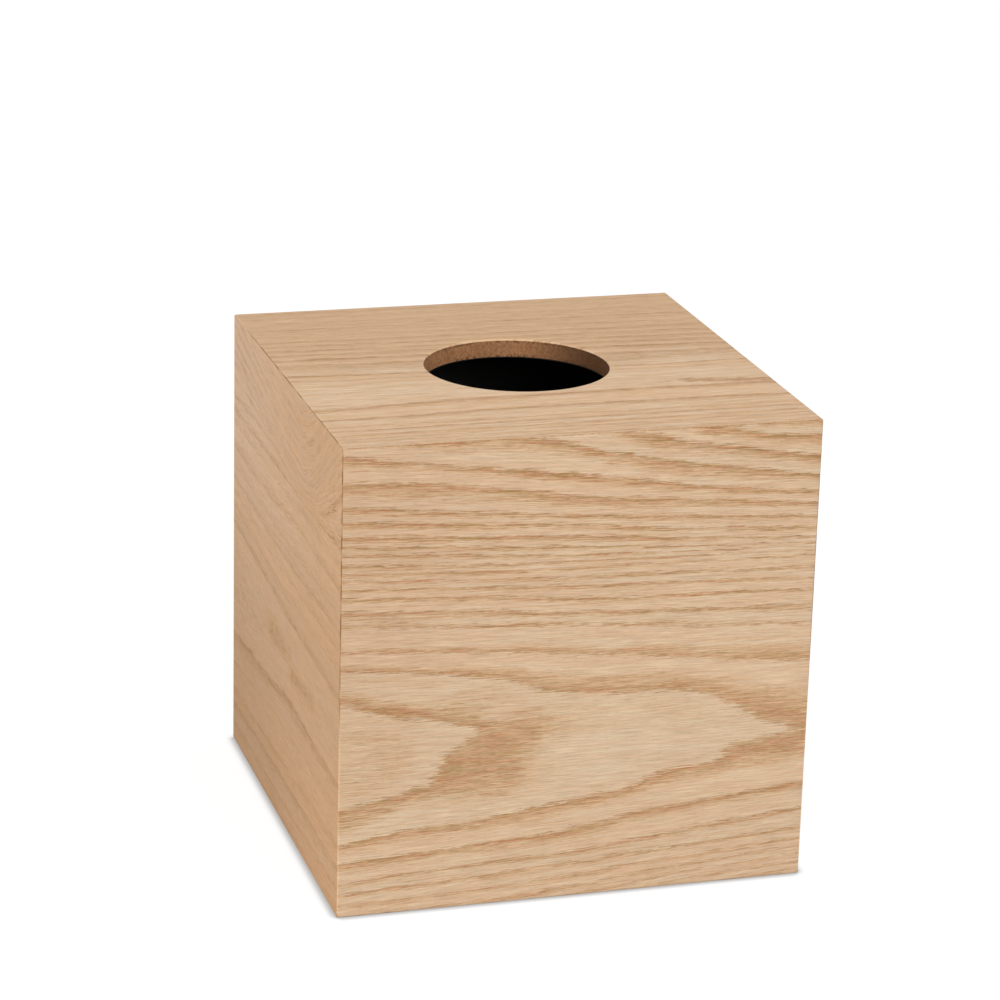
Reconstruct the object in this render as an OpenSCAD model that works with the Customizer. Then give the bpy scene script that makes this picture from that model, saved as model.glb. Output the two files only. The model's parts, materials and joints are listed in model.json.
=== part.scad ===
// Cube cover for a box of tissues: five veneered boards mitred together, a round hole in the top,
// and an open bottom, so that it drops over the box.
// The origin is at the centre of the bottom rim, +Z is up, and the front faces -Y.

/* [Cover] */
// Width from left to right over the outside
cover_w = 140; // [110:1:260]
// Depth from front to back over the outside
cover_d = 140; // [110:1:260]
// Height from the bottom rim to the top face
cover_h = 140; // [70:1:300]

/* [Tissue hole] */
// Diameter of the round hole that the tissues are pulled out of
hole_d = 55; // [30:1:80]

/* [Boards] */
// Thickness of the oak veneer on the outside of a board
veneer_t = 0.5; // [0.3:0.1:1.5]
// Thickness of the fibreboard core of a board
core_t = 5; // [4:0.5:12]
// Thickness of the black balancing sheet on the inside of a board
backing_t = 0.3; // [0.1:0.1:1]
// Share of the veneer's thickness that is sanded off along an outer edge
sanded_share = 0.8; // [0.2:0.1:0.9]

/* [Tongues] */
// Thickness of the loose tongues that key the mitres
tongue_t = 1.5; // [1:0.1:2]
// Width of a tongue, one half in each board
tongue_w = 4; // [3:0.5:5]
// Glue room around a tongue in its groove
tongue_gap = 0.05; // [0.02:0.01:0.1]
// Where a tongue crosses the mitre, as a share of the core's thickness from its outer side
tongue_place_share = 0.64; // [0.6:0.01:0.7]
// Distance from the bottom rim up to the foot of an upright tongue
tongue_foot = 8; // [2:1:25]
// Distance from the inner corner of the boards to the end of a tongue
tongue_end = 6; // [4:1:12]

/* [Hidden] */
// The walls in the order that a quarter turn brings them to the front wall's place
WALLS = ["front", "right", "back", "left"];
// The upright corners: name, side along X, side along Y
CORNERS = [
    ["front_left", -1, -1],
    ["front_right", 1, -1],
    ["back_right", 1, 1],
    ["back_left", -1, 1]
];

// Whole thickness of a board
board_t = veneer_t + core_t + backing_t;
// Depths below the outer face between which each layer lies
veneer_layer = [0, veneer_t];
core_layer = [veneer_t, veneer_t + core_t];
backing_layer = [veneer_t + core_t, board_t];
// Width, on each face, of the flat that sanding leaves on an outer edge
sanded_w = veneer_t * sanded_share;
// Angle of the mitres
mitre = 45;
// Depth below both outer faces at which the middle of a tongue lies
tongue_in = veneer_t + core_t * tongue_place_share;
// Distance from an outer face to the end of a tongue that points at it
tongue_stop = board_t + tongue_end;
// How far a cutting shape runs past the face that it cuts
overrun = 1;
// Facets on the hole
$fn = 180;

oak = "#d2ac86";
fibreboard = "#8a5e40";
black_sheet = "#191817";
beech = "#d9bb90";

// Length of a wall along its own face, and distance of that face from the centre
function wall_run(i) = i % 2 == 0 ? cover_w : cover_d;
function wall_reach(i) = (i % 2 == 0 ? cover_d : cover_w) / 2;

// A layer's edge at a mitre, from its outer side to its inner side, as [reach, depth] points
function mitre_points(reach, layer, sanded) = concat(
    sanded > 0
        ? [[reach - sanded, 0], [reach - sanded / 2, sanded / 2]]
        : [[reach - layer[0], layer[0]]],
    [[reach - layer[1], layer[1]]]
);
// A layer's edge at the bottom rim, from its inner side to its outer side
function rim_points(layer, sanded) = concat(
    [[0, layer[1]]],
    sanded > 0 ? [[0, sanded], [sanded, 0]] : [[0, layer[0]]]
);
// The same edge at the other end of a layer
function mirrored(points) = [
    for (i = [len(points) - 1 : -1 : 0]) [-points[i][0], points[i][1]]
];
// A layer cut across, with a mitre at both ends
function board_outline(run, layer, sanded) = concat(
    mitre_points(run / 2, layer, sanded),
    mirrored(mitre_points(run / 2, layer, sanded))
);
// A wall's layer cut across from top to bottom, with a mitre at the top and a square rim
function wall_outline(layer, sanded) = concat(
    mitre_points(cover_h, layer, sanded),
    rim_points(layer, sanded)
);

// One layer of a wall: mitred at both ends and at the top
module wall_layer(i, layer, sanded = 0) {
    rotate([0, 0, 90 * i])
    translate([0, -wall_reach(i), 0])
    intersection() {
        translate([0, 0, -overrun])
        linear_extrude(height = cover_h + 2 * overrun)
        polygon(board_outline(wall_run(i), layer, sanded));
        rotate([90, 0, 90])
        linear_extrude(height = wall_run(i), center = true)
        polygon([for (point = wall_outline(layer, sanded)) [point[1], point[0]]]);
    }
}

// One layer of the top board: mitred on all four sides, with the hole through it
module top_layer(layer, sanded = 0) {
    difference() {
        translate([0, 0, cover_h])
        intersection() {
            rotate([90, 0, 0])
            linear_extrude(height = cover_d, center = true)
            polygon([for (point = board_outline(cover_w, layer, sanded)) [point[0], -point[1]]]);
            rotate([90, 0, 90])
            linear_extrude(height = cover_w, center = true)
            polygon([for (point = board_outline(cover_d, layer, sanded)) [point[0], -point[1]]]);
        }
        tissue_hole();
    }
}

// The hole with its sanded rim
module tissue_hole() {
    translate([0, 0, cover_h - board_t - overrun])
    cylinder(h = board_t + 2 * overrun, d = hole_d);
    translate([0, 0, cover_h - sanded_w])
    cylinder(h = sanded_w + overrun, d1 = hole_d, d2 = hole_d + 2 * (sanded_w + overrun));
}

// A flat strip across an upright mitre, grown by a gap on every side where it cuts a groove
module upright_strip(corner, gap = 0) {
    translate([
        corner[1] * (cover_w / 2 - tongue_in),
        corner[2] * (cover_d / 2 - tongue_in),
        tongue_foot - gap
    ])
    rotate([0, 0, -mitre * corner[1] * corner[2]])
    translate([-tongue_w / 2 - gap, -tongue_t / 2 - gap, 0])
    cube([
        tongue_w + 2 * gap,
        tongue_t + 2 * gap,
        cover_h - tongue_foot - tongue_stop + 2 * gap
    ]);
}

// A flat strip across the mitre between a wall and the top board
module top_strip(i, gap = 0) {
    rotate([0, 0, 90 * i])
    translate([0, tongue_in - wall_reach(i), cover_h - tongue_in])
    rotate([-mitre, 0, 0])
    cube(
        [wall_run(i) - 2 * tongue_stop + 2 * gap, tongue_t + 2 * gap, tongue_w + 2 * gap],
        center = true
    );
}

// The grooves that hold the tongues
module grooves() {
    for (corner = CORNERS) upright_strip(corner, tongue_gap);
    for (i = [0 : len(WALLS) - 1]) top_strip(i, tongue_gap);
}

module wall_veneer(i) {
    color(oak)
    wall_layer(i, veneer_layer, sanded_w);
}

module wall_core(i) {
    color(fibreboard)
    difference() {
        wall_layer(i, core_layer);
        grooves();
    }
}

module wall_backing(i) {
    color(black_sheet)
    wall_layer(i, backing_layer);
}

module top_veneer() {
    color(oak)
    top_layer(veneer_layer, sanded_w);
}

module top_core() {
    color(fibreboard)
    difference() {
        top_layer(core_layer);
        grooves();
    }
}

module top_backing() {
    color(black_sheet)
    top_layer(backing_layer);
}

module upright_tongue(corner) {
    color(beech)
    upright_strip(corner);
}

module top_tongue(i) {
    color(beech)
    top_strip(i);
}

top_veneer();
top_core();
top_backing();
for (i = [0 : len(WALLS) - 1]) {
    wall_veneer(i);
    wall_core(i);
    wall_backing(i);
    top_tongue(i);
}
for (corner = CORNERS) {
    upright_tongue(corner);
}
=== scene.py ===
# %% [markdown]
# # A cube cover for a box of tissues, in oak veneer
# The cover is five boards mitred into a cube: brown fibreboard with a leaf of oak veneer outside and a thin
# black sheet inside, a round hole in the top, and no bottom. The construction is done in CAD, so this script
# loads those solids as a fixed frame and gives them their looks. Its main job is the wood, because a plain
# cube is only as good as its veneer.

# %% Load the CAD part as a fixed frame
import json
import math

import bpy
import numpy as np
from mathutils import Color, Matrix, Vector


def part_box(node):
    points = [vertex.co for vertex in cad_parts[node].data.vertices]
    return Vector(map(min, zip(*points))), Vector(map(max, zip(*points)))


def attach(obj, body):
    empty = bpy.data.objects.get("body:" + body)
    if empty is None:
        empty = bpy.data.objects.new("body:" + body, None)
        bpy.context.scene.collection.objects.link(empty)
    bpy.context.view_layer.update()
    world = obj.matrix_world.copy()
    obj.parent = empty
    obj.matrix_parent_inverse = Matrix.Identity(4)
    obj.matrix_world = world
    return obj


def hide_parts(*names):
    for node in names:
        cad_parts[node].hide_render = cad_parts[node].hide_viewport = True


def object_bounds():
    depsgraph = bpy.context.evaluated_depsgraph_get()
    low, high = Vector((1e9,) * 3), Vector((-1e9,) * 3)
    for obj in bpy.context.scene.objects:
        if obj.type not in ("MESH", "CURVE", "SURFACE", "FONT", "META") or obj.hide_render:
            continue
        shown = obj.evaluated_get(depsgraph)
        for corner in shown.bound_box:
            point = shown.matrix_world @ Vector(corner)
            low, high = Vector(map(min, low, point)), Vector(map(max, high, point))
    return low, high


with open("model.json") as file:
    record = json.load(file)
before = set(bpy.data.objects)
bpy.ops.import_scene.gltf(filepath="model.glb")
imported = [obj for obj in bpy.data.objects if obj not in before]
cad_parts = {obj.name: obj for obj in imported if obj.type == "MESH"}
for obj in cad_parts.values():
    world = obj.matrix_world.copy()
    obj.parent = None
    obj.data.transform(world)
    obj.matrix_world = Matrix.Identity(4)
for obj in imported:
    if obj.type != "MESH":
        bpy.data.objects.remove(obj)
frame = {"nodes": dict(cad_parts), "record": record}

MM = 0.001
cad_low, cad_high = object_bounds()
cover = cad_high - cad_low
middle = (cad_low + cad_high) / 2
veneer_low, veneer_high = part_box("top_veneer")
veneer_t = veneer_high.z - veneer_low.z
hole_mount = next(mount for mount in frame["record"]["mounts"] if mount["name"] == "tissue_hole")
hole_r = hole_mount["dims"]["r_mm"] * MM
print("cover (mm):", [round(side / MM, 2) for side in cover])
print("veneer (mm):", round(veneer_t / MM, 2), "hole radius (mm):", round(hole_r / MM, 2))

# %% [markdown]
# ## The camera
# The photograph was taken from the front left and a little above, with a long lens: the upright edges
# lean together only slightly. The camera stands about a metre away. Its roll of a degree and a half is in
# the photograph too. It comes first, so that every later choice can be judged through it.

# %% Stand the camera where the photograph was taken
CAMERA_PLACE = Vector((-0.29571, -0.97656, 0.43593))
CAMERA_AIM = Vector((0.2717, 0.9095, -0.3146))
CAMERA_ROLL = math.radians(1.557)
LENS_MM = 129.47
SENSOR_MM = 36
FAR_CLIP = 20


def place_camera():
    """A camera with the photograph's view, set as the scene's camera."""
    data = bpy.data.cameras.new("photograph view")
    data.lens = LENS_MM
    data.sensor_width = SENSOR_MM
    data.clip_end = FAR_CLIP
    camera = bpy.data.objects.new("photograph view", data)
    bpy.context.scene.collection.objects.link(camera)
    turn = CAMERA_AIM.to_track_quat("-Z", "Y").to_matrix().to_4x4()
    camera.matrix_world = Matrix.Translation(CAMERA_PLACE) @ turn @ Matrix.Rotation(CAMERA_ROLL, 4, "Z")
    bpy.context.scene.camera = camera
    return camera


camera = place_camera()
camera_far = (camera.matrix_world.translation - middle).length
print("camera distance from the cover (m):", round(camera_far, 3))

# %% [markdown]
# ## Formulas in node trees
# Both the shape of a veneer leaf and the pattern of its wood are formulas. Wired by hand they would be long
# chains of Math nodes, so a small class stands for a number inside a tree: adding or multiplying two of
# them makes the Math node and its links. The same class works in geometry trees and in shader trees.


# %% A number inside a node tree
def feed(tree, socket, term):
    """Gives a node's input a number, a colour, or a link from another node."""
    if isinstance(term, Number):
        tree.links.new(term.socket, socket)
    elif isinstance(term, bpy.types.NodeSocket):
        tree.links.new(term, socket)
    else:
        socket.default_value = term


def add_node(tree, kind, inputs=None, **settings):
    """A new node, with its settings made first and then its inputs fed by name or number."""
    made = tree.nodes.new(kind)
    for name, value in settings.items():
        setattr(made, name, value)
    for name, term in (inputs or {}).items():
        feed(tree, made.inputs[name], term)
    return made


class Number:
    """A number that a node tree works out, so that a formula in the script reads as one."""

    def __init__(self, tree, socket):
        self.tree = tree
        self.socket = socket

    def math(self, operation, *terms):
        made = add_node(self.tree, "ShaderNodeMath", dict(enumerate(terms)), operation=operation)
        return Number(self.tree, made.outputs[0])

    def __add__(self, other):
        return self.math("ADD", self, other)

    def __sub__(self, other):
        return self.math("SUBTRACT", self, other)

    def __rsub__(self, other):
        return self.math("SUBTRACT", other, self)

    def __mul__(self, other):
        return self.math("MULTIPLY", self, other)

    def __truediv__(self, other):
        return self.math("DIVIDE", self, other)

    def __pow__(self, other):
        return self.math("POWER", self, other)

    def __abs__(self):
        return self.math("ABSOLUTE", self)

    __radd__ = __add__
    __rmul__ = __mul__

    def of(self, operation, *others):
        """Any other operation of the Math node, with this number first."""
        return self.math(operation, self, *others)

    def clamped(self):
        """This number held between 0 and 1."""
        return self.of("MAXIMUM", 0.0).of("MINIMUM", 1.0)

    def rise(self, start, end):
        """0 below start and 1 above end, with a smooth step between. It falls where end is lower."""
        limits = {"Value": self, "From Min": start, "From Max": end}
        made = add_node(self.tree, "ShaderNodeMapRange", limits, interpolation_type="SMOOTHSTEP")
        return Number(self.tree, made.outputs["Result"])


def between(one, other, share):
    """The number that lies the given share of the way from one to the other."""
    return one + (other - one) * share


def weighed(parts, shares):
    """The sum of several numbers, each times its share."""
    return sum(parts[name] * share for name, share in shares.items())


def split(tree, vector):
    """The three numbers of a vector."""
    made = add_node(tree, "ShaderNodeSeparateXYZ", {0: vector})
    return [Number(tree, output) for output in made.outputs]


def join(tree, x, y, z):
    """A vector of three numbers."""
    return add_node(tree, "ShaderNodeCombineXYZ", {0: x, 1: y, 2: z}).outputs[0]


def new_tree(name, kind, inputs, outputs):
    """A node group with named inputs and outputs, as name: (socket type, default value)."""
    tree = bpy.data.node_groups.new(name, kind)
    for label, (socket_type, default) in inputs.items():
        socket = tree.interface.new_socket(label, in_out="INPUT", socket_type=socket_type)
        if default is not None:
            socket.default_value = default
    for label, socket_type in outputs.items():
        tree.interface.new_socket(label, in_out="OUTPUT", socket_type=socket_type)
    given = tree.nodes.new("NodeGroupInput")
    result = tree.nodes.new("NodeGroupOutput")
    return tree, given.outputs, result.inputs


FLOAT = "NodeSocketFloat"
VECTOR = "NodeSocketVector"
COLOR = "NodeSocketColor"

# %% [markdown]
# ## The veneer leaves
# A leaf of veneer is half a millimetre thick. Its edges are cut at 45 degrees, and after glueing, the maker
# takes the sharp arris off with fine paper, so that each outer edge is rounded a little. The five leaves
# follow one rule, so one Geometry Nodes tree makes them all: it starts from a flat grid with one cell to a
# millimetre and a few extra rows all round, works out where each grid point lies on the rounded sheet, and
# gives the sheet its thickness. The wood figure is drawn on the grid points later, which is why a plain
# box would not do. The top's grid is opened in the middle and its rows are eased from square to round.

# %% Sizes of the leaf's grid
ARRIS_R = 0.45 * MM
HOLE_ARRIS_R = 0.4 * MM
# Cells from the middle to an arris, over an arris, and from the middle to the rim of the hole
FLAT_CELLS = 70
ARRIS_CELLS = 4
HOLE_CELLS = 28
ALL_CELLS = FLAT_CELLS + ARRIS_CELLS
HALF_CELL = 0.5
EIGHTH_TURN = math.pi / 4
QUARTER_TURN = math.pi / 2
WELD = 0.001 * MM


# %% Where the points of a flat sheet go
def row_of(x, y):
    """How many cells out from the middle the square row of a grid point lies, and at least one."""
    return abs(x).of("MAXIMUM", abs(y)).of("MAXIMUM", 1.0)


def spread_out(x, y, cells, sides, rim, first, holed):
    """The sheet's cells spread evenly. Round a hole, square rows of them ease into circles instead."""
    row = row_of(x, y)
    radius = (x * x + y * y).of("SQRT").of("MAXIMUM", 1.0)
    share = ((row - first) / (cells - first)).clamped()
    return [
        between(axis / cells * side, between(axis / radius * rim, axis / row * side, share), holed)
        for axis, side in zip((x, y), sides)
    ]


# %% Where a grid point lies on the outside and on the inside of a leaf
def outer_place(x, y, size):
    """The rounded outer sheet: a flat middle, arrises that turn to the mitre, and the eased hole."""
    side_x, side_y = x.of("SIGN"), y.of("SIGN")
    cell_turn = EIGHTH_TURN / ARRIS_CELLS
    lean_x, lean_y = ((abs(axis) - FLAT_CELLS).of("MAXIMUM", 0.0) * cell_turn for axis in (x, y))
    # A mitred edge turns through 45 degrees, and the leaf next to it turns through the rest
    tan_x = lean_x.of("TANGENT") * side_x
    tan_y = lean_y.of("TANGENT") * side_y
    length = (tan_x * tan_x + tan_y * tan_y + 1).of("SQRT")
    # The square foot turns through 90 degrees, down to the surface that the cover stands on
    foot = size["Square Foot"] * y.of("LESS_THAN", -FLAT_CELLS)
    under = lean_y * 2
    turn_x = between(tan_x / length, under.of("COSINE") * lean_x.of("SINE") * side_x, foot)
    turn_y = between(tan_y / length, under.of("SINE") * -1, foot)
    turn_z = between(length ** -1, under.of("COSINE") * lean_x.of("COSINE"), foot)
    # The flat middle ends where the arrises begin, and the rim of the hole turns through 90 degrees
    flat_x, flat_y = (axis.of("MAXIMUM", -FLAT_CELLS).of("MINIMUM", FLAT_CELLS) for axis in (x, y))
    sides = [size[side] / 2 - size["Arris Radius"] for side in ("Width", "Height")]
    over = ((HOLE_CELLS - row_of(flat_x, flat_y)) / ARRIS_CELLS).clamped() * QUARTER_TURN
    rim = size["Hole Radius"] + size["Hole Arris Radius"] * (1 - over.of("SINE"))
    dip = size["Hole Arris Radius"] * (1 - over.of("COSINE")) * size["Holed"]
    flat = spread_out(flat_x, flat_y, FLAT_CELLS, sides, rim, HOLE_CELLS, size["Holed"])
    return join(
        x.tree,
        flat[0] + turn_x * size["Arris Radius"],
        flat[1] + turn_y * size["Arris Radius"],
        (turn_z - 1) * size["Arris Radius"] - dip,
    )


def inner_place(x, y, size):
    """The flat inner sheet, a veneer's thickness down, drawn in by that much at every mitre."""
    foot = size["Square Foot"] * y.of("LESS_THAN", 0.0)
    sides = [size["Width"] / 2 - size["Thickness"], size["Height"] / 2 - size["Thickness"] * (1 - foot)]
    first = HOLE_CELLS - ARRIS_CELLS
    flat = spread_out(x, y, ALL_CELLS, sides, size["Hole Radius"], first, size["Holed"])
    return join(x.tree, *flat, size["Thickness"] * -1)


# %% The tree that makes a leaf
LEAF_INPUTS = {
    "Width": (FLOAT, cover.x),
    "Height": (FLOAT, cover.z),
    "Thickness": (FLOAT, veneer_t),
    "Arris Radius": (FLOAT, ARRIS_R),
    "Square Foot": (FLOAT, 0.0),
    "Hole Radius": (FLOAT, 0.0),
    "Hole Arris Radius": (FLOAT, HOLE_ARRIS_R),
    "Material": ("NodeSocketMaterial", None),
}


def shaped(tree, kind, inputs, **settings):
    """The geometry that a node of a Geometry Nodes tree puts out."""
    return add_node(tree, kind, inputs, **settings).outputs[0]


def stored(tree, geometry, name, value):
    """Writes a vector on every point under a name that materials and later nodes can read."""
    inputs = {"Geometry": geometry, "Name": name, "Value": value}
    kind = "GeometryNodeStoreNamedAttribute"
    return shaped(tree, kind, inputs, data_type="FLOAT_VECTOR", domain="POINT")


def leaf_tree():
    """A sheet of veneer in its own flat frame: outside up at zero, mitred edges, closed all round."""
    outputs = {"Geometry": "NodeSocketGeometry"}
    tree, given, result = new_tree("veneer leaf", "GeometryNodeTree", LEAF_INPUTS, outputs)
    size = {name: Number(tree, given[name]) for name in LEAF_INPUTS if name != "Material"}
    size["Holed"] = size["Hole Radius"].of("GREATER_THAN", 0.0)
    sides = {"Size X": 2.0 * ALL_CELLS, "Size Y": 2.0 * ALL_CELLS}
    counts = {"Vertices X": 2 * ALL_CELLS + 1, "Vertices Y": 2 * ALL_CELLS + 1}
    grid = shaped(tree, "GeometryNodeMeshGrid", {**sides, **counts})
    x, y, _ = split(tree, add_node(tree, "GeometryNodeInputPosition").outputs[0])
    far_x, far_y = abs(x), abs(y)
    row = far_x.of("MAXIMUM", far_y)
    # The cells inside the hole go
    inside = size["Holed"] * row.of("LESS_THAN", HOLE_CELLS - ARRIS_CELLS - HALF_CELL)
    cut = {"Geometry": grid, "Selection": inside}
    opened = shaped(tree, "GeometryNodeDeleteGeometry", cut, domain="POINT")
    # How far each point lies over an end arris, a long arris and the hole's rim, from 0 to 1
    end = ((far_x - FLAT_CELLS) / ARRIS_CELLS).clamped()
    long = ((far_y - FLAT_CELLS) / ARRIS_CELLS).clamped()
    rim = ((HOLE_CELLS - row) / ARRIS_CELLS).clamped() * size["Holed"]
    marked = stored(tree, opened, "edge", join(tree, end, long, rim))
    placed = stored(tree, marked, "outer_place", outer_place(x, y, size))
    sheet = {"Geometry": placed, "Position": inner_place(x, y, size)}
    inner = shaped(tree, "GeometryNodeSetPosition", sheet)
    # A copy of the inner sheet is pulled up to the outer places, which closes the edges between them
    copied = {"Mesh": inner, "Offset Scale": 0.0, "Individual": False}
    raised = add_node(tree, "GeometryNodeExtrudeMesh", copied, mode="FACES").outputs
    kind = "GeometryNodeInputNamedAttribute"
    places = add_node(tree, kind, {"Name": "outer_place"}, data_type="FLOAT_VECTOR").outputs["Attribute"]
    pulled = {"Geometry": raised["Mesh"], "Selection": raised["Top"], "Position": places}
    outer = shaped(tree, "GeometryNodeSetPosition", pulled)
    turned = shaped(tree, "GeometryNodeFlipFaces", {"Mesh": inner})
    both = tree.nodes.new("GeometryNodeJoinGeometry")
    for sheet in (outer, turned):
        tree.links.new(sheet, both.inputs[0])
    closed = shaped(tree, "GeometryNodeMergeByDistance", {"Geometry": both.outputs[0], "Distance": WELD})
    cleared = shaped(tree, "GeometryNodeRemoveAttribute", {"Geometry": closed, "Name": "outer_place"})
    real = shaped(tree, "GeometryNodeRealizeInstances", {"Geometry": cleared})
    finished = shaped(tree, "GeometryNodeSetMaterial", {"Geometry": real, "Material": given["Material"]})
    tree.links.new(finished, result["Geometry"])
    return tree


LEAF_TREE = leaf_tree()
print("leaf tree nodes:", len(LEAF_TREE.nodes))

# %% [markdown]
# ## Where each leaf goes
# Every leaf is made lying flat, as on the bench, and then stood in its place. A face of the cube is
# given by three directions: to the right and up as someone facing it sees them, and outwards.

# %% The five faces
X, Y, Z = Vector((1, 0, 0)), Vector((0, 1, 0)), Vector((0, 0, 1))
FACES = {
    "top": {"right": X, "up": Y, "out": Z},
    "front": {"right": X, "up": Z, "out": -Y},
    "right": {"right": Y, "up": Z, "out": X},
    "back": {"right": -X, "up": Z, "out": Y},
    "left": {"right": -Y, "up": Z, "out": -X},
}


def span(direction):
    """The cover's size along a direction."""
    return abs(cover.dot(direction))


def standing(face):
    """The move that takes a leaf from the bench to its face of the cube."""
    turn = Matrix((face["right"], face["up"], face["out"])).transposed().to_4x4()
    return Matrix.Translation(middle + face["out"] * span(face["out"]) / 2) @ turn


# %% [markdown]
# ## The figure of the wood
# Oak shows its growth rings because each spring the tree lays down a row of wide pores. Where the knife
# meets the rings at a shallow angle they open into bands and long tongues. The maker of this cover laid the
# grain level on every face, and the front has two tongues lying on their side. To have that figure, the
# growth lines of a leaf are drawn as a few points each, in millimetres from its top left corner,
# and numbered. A smooth surface through the numbers, the kind a thin bent plate would take, then gives
# every point of the leaf its ring number, with whole numbers on most lines. The same is done for how dark a
# band is, how far it reaches, and how the fibres run. The back and the right side are not in the
# photograph, so their figure is invented in the same way.


# %% A thin plate bent through given heights
FILL_STEP_MM = 5.0
PLATE_GIVE = 2e-5
PLANE_TERMS = 3
TOUCHING = 1e-9
CHUNKS = 8


def filled(line):
    """The points of a line with more put between them, so that the surface can't stray from it."""
    points = np.array(line, float)
    steps = np.hypot(*np.diff(points, axis=0).T) if len(points) > 1 else np.array([])
    reach = np.concatenate([[0.0], np.cumsum(steps)])
    count = max(1, int(reach[-1] / FILL_STEP_MM)) + 1
    places = np.linspace(0, reach[-1], count) if len(points) > 1 else [0.0]
    return np.column_stack([np.interp(places, reach, points[:, axis]) for axis in (0, 1)])


def pull(one, other):
    """How strongly a point of a bent plate is moved by each of the points that hold it."""
    squares = ((one[:, None, :] - other[None, :, :]) ** 2).sum(2)
    return squares * np.log(np.maximum(squares, TOUCHING))


def thin_plate(points, heights, places):
    """The heights at the places, of the smoothest surface that passes through the given points."""
    count = len(points)
    plane = np.column_stack([np.ones(count), points])
    system = np.zeros((count + PLANE_TERMS, count + PLANE_TERMS))
    system[:count, :count] = pull(points, points) + PLATE_GIVE * np.eye(count)
    system[:count, count:] = plane
    system[count:, :count] = plane.T
    weights = np.linalg.solve(system, np.concatenate([heights, np.zeros(PLANE_TERMS)]))
    tilt = weights[count] + places @ weights[count + 1 :]
    chunks = np.array_split(places, CHUNKS)
    return tilt + np.concatenate([pull(chunk, points) @ weights[:count] for chunk in chunks])


def lattice(lines, columns, rows):
    """The surface through lines of equal height, read at every whole millimetre of a leaf."""
    runs = [(height, filled(line)) for height, line in lines]
    points = np.concatenate([run for _, run in runs])
    heights = np.concatenate([np.full(len(run), height) for height, run in runs])
    down, along = np.mgrid[0 : rows + 1, 0 : columns + 1]
    places = np.column_stack([along.ravel(), down.ravel()]).astype(float)
    scale = max(columns, rows)
    return thin_plate(points / scale, heights, places / scale).reshape(rows + 1, columns + 1)


def read_lattice(values, along, down):
    """Values of a lattice at places between its points."""
    left = np.clip(np.floor(along).astype(int), 0, values.shape[1] - 2)
    above = np.clip(np.floor(down).astype(int), 0, values.shape[0] - 2)
    part_x, part_y = along - left, down - above
    upper = values[above, left] * (1 - part_x) + values[above, left + 1] * part_x
    lower = values[above + 1, left] * (1 - part_x) + values[above + 1, left + 1] * part_x
    return upper * (1 - part_y) + lower * part_y


# %% Lines that run straight across a leaf
LEAF_MM = round(cover.x / MM)


def straight(rows):
    """Lines given as (value, height at the left edge, height at the right edge)."""
    return [(value, [(0, left), (LEAF_MM, right)]) for value, left, right in rows]


# %% Growth lines of the front leaf
# Each line is (how dark its band is, points). Lines of an axis or a crest, which have no band, and those
# in between are (ring number, points). The numbers count outwards from the axis of the tongues.
FRONT_TONGUES = [
    (0.8, [(0, 75), (12, 79.3), (30, 82.3), (42, 86), (38, 88.5), (29, 94.5), (30.5, 97.5), (27, 101),
           (10, 105.5), (0, 107)]),
    (0.75, [(0, 65), (20, 67), (50, 71.5), (60, 76), (80, 78), (100, 78.5), (112, 80.5), (120, 87),
            (136, 94), (125, 96), (116, 97.5), (113, 102), (97, 103), (86, 108), (60, 110.8),
            (42, 113.8), (17, 115), (0, 118)]),
]
# Where a band is softer or stronger than its line
FRONT_SOFT = [
    (0.6, [(42, 67.5), (60, 72), (90, 75)]),
    (0.65, [(60, 94), (62, 98)]),
    (0.9, [(97, 104.5), (86, 109), (60, 112)]),
    (0.75, [(128, 84), (138, 88)]),
    (0.4, [(0, 86), (18, 89)]),
    (0.4, [(0, 97), (15, 96)]),
]
FRONT_AXIS = [
    (0.4, [(0, 91), (14, 91)]),
    (1.04, [(39, 91)]),
    (1.07, [(46, 91)]),
    (1.13, [(56, 88)]),
    (1.12, [(52, 100)]),
    (1.24, [(54, 94)]),
    (1.25, [(51, 84)]),
    (1.4, [(66, 88)]),
    (1.4, [(62, 100)]),
    (1.46, [(62, 94.5)]),
    (1.62, [(76, 91), (95, 91)]),
]
FRONT_ABOVE = [
    (0.65, [(0, 59.8), (20, 60.8), (50, 63.1), (70, 65.3), (90, 67.7), (120, 71), (140, 73)]),
    (0.7, [(0, 52), (30, 54.3), (57, 55.6), (80, 57.4), (100, 59), (140, 61.2)]),
]
FRONT_CREST = [(4.4, [(0, 50.5), (40, 53), (62, 54.4), (100, 57), (140, 59.3)])]
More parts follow.
